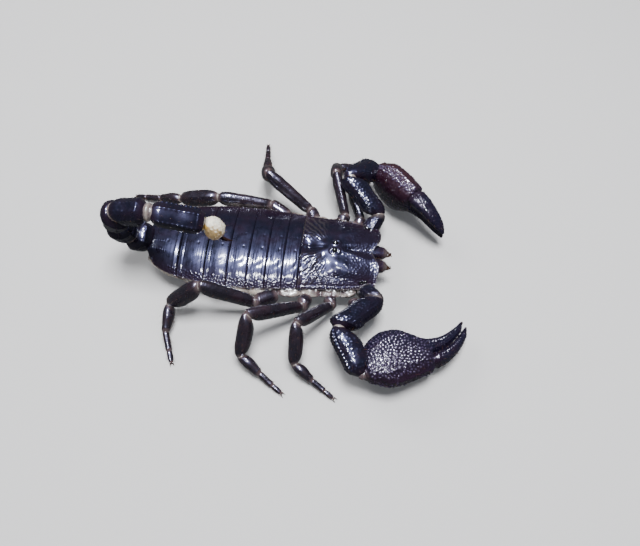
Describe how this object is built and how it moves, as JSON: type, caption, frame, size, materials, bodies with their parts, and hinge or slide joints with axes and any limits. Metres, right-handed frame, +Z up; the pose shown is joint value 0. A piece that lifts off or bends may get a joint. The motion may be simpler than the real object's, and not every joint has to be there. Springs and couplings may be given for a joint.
{
  "type": "emperor scorpion",
  "caption": "Life-size emperor scorpion standing with its tail arched forward over its back and both pincers held in front, a still natural-history model.",
  "frame": {"origin": "middle of the footprint, on the ground plane", "axes": "+X towards the head, +Y towards the animal's left side, +Z up"},
  "size_m": [0.1098, 0.0914, 0.035],
  "materials": {
    "shell": "glossy blue-black horny plate",
    "belly": "satin dark brown plate",
    "soft": "soft pale folded skin",
    "hand": "glossy dark red-brown, finely grained",
    "leg": "glossy black-brown",
    "eye": "mirror-smooth black",
    "vesicle": "satin cream",
    "sting": "glossy dark brown"
  },
  "bodies": {
    "root": {"belly_plates": "belly", "carapace": "shell", "chelicera_left": "shell", "chelicera_right": "shell", "comb_left": "belly", "comb_right": "belly", "eye_median_left": "eye", "eye_median_right": "eye", "eyes_lateral_left": "eye", "eyes_lateral_right": "eye", "flank": "soft", "leg_bases": "belly", "leg_left_1_femur": "leg", "leg_left_1_patella": "leg", "leg_left_1_tibia": "leg", "leg_left_2_femur": "leg", "leg_left_2_patella": "leg", "leg_left_2_tibia": "leg", "leg_left_3_femur": "leg", "leg_left_3_patella": "leg", "leg_left_3_tibia": "leg", "leg_left_4_femur": "leg", "leg_left_4_patella": "leg", "leg_left_4_tibia": "leg", "leg_right_1_femur": "leg", "leg_right_1_patella": "leg", "leg_right_1_tibia": "leg", "leg_right_2_femur": "leg", "leg_right_2_patella": "leg", "leg_right_2_tibia": "leg", "leg_right_3_femur": "leg", "leg_right_3_patella": "leg", "leg_right_3_tibia": "leg", "leg_right_4_femur": "leg", "leg_right_4_patella": "leg", "leg_right_4_tibia": "leg", "pedipalp_left_femur": "shell", "pedipalp_left_finger": "hand", "pedipalp_left_manus": "hand", "pedipalp_left_patella": "shell", "pedipalp_left_trochanter": "shell", "pedipalp_right_femur": "shell", "pedipalp_right_finger": "hand", "pedipalp_right_manus": "hand", "pedipalp_right_patella": "shell", "pedipalp_right_trochanter": "shell", "sting": "sting", "tail_1": "shell", "tail_2": "shell", "tail_3": "shell", "tail_4": "shell", "tail_5": "shell", "tergite_1": "shell", "tergite_2": "shell", "tergite_3": "shell", "tergite_4": "shell", "tergite_5": "shell", "tergite_6": "shell", "tergite_7": "shell", "vesicle": "vesicle"}
  },
  "joints": []
}
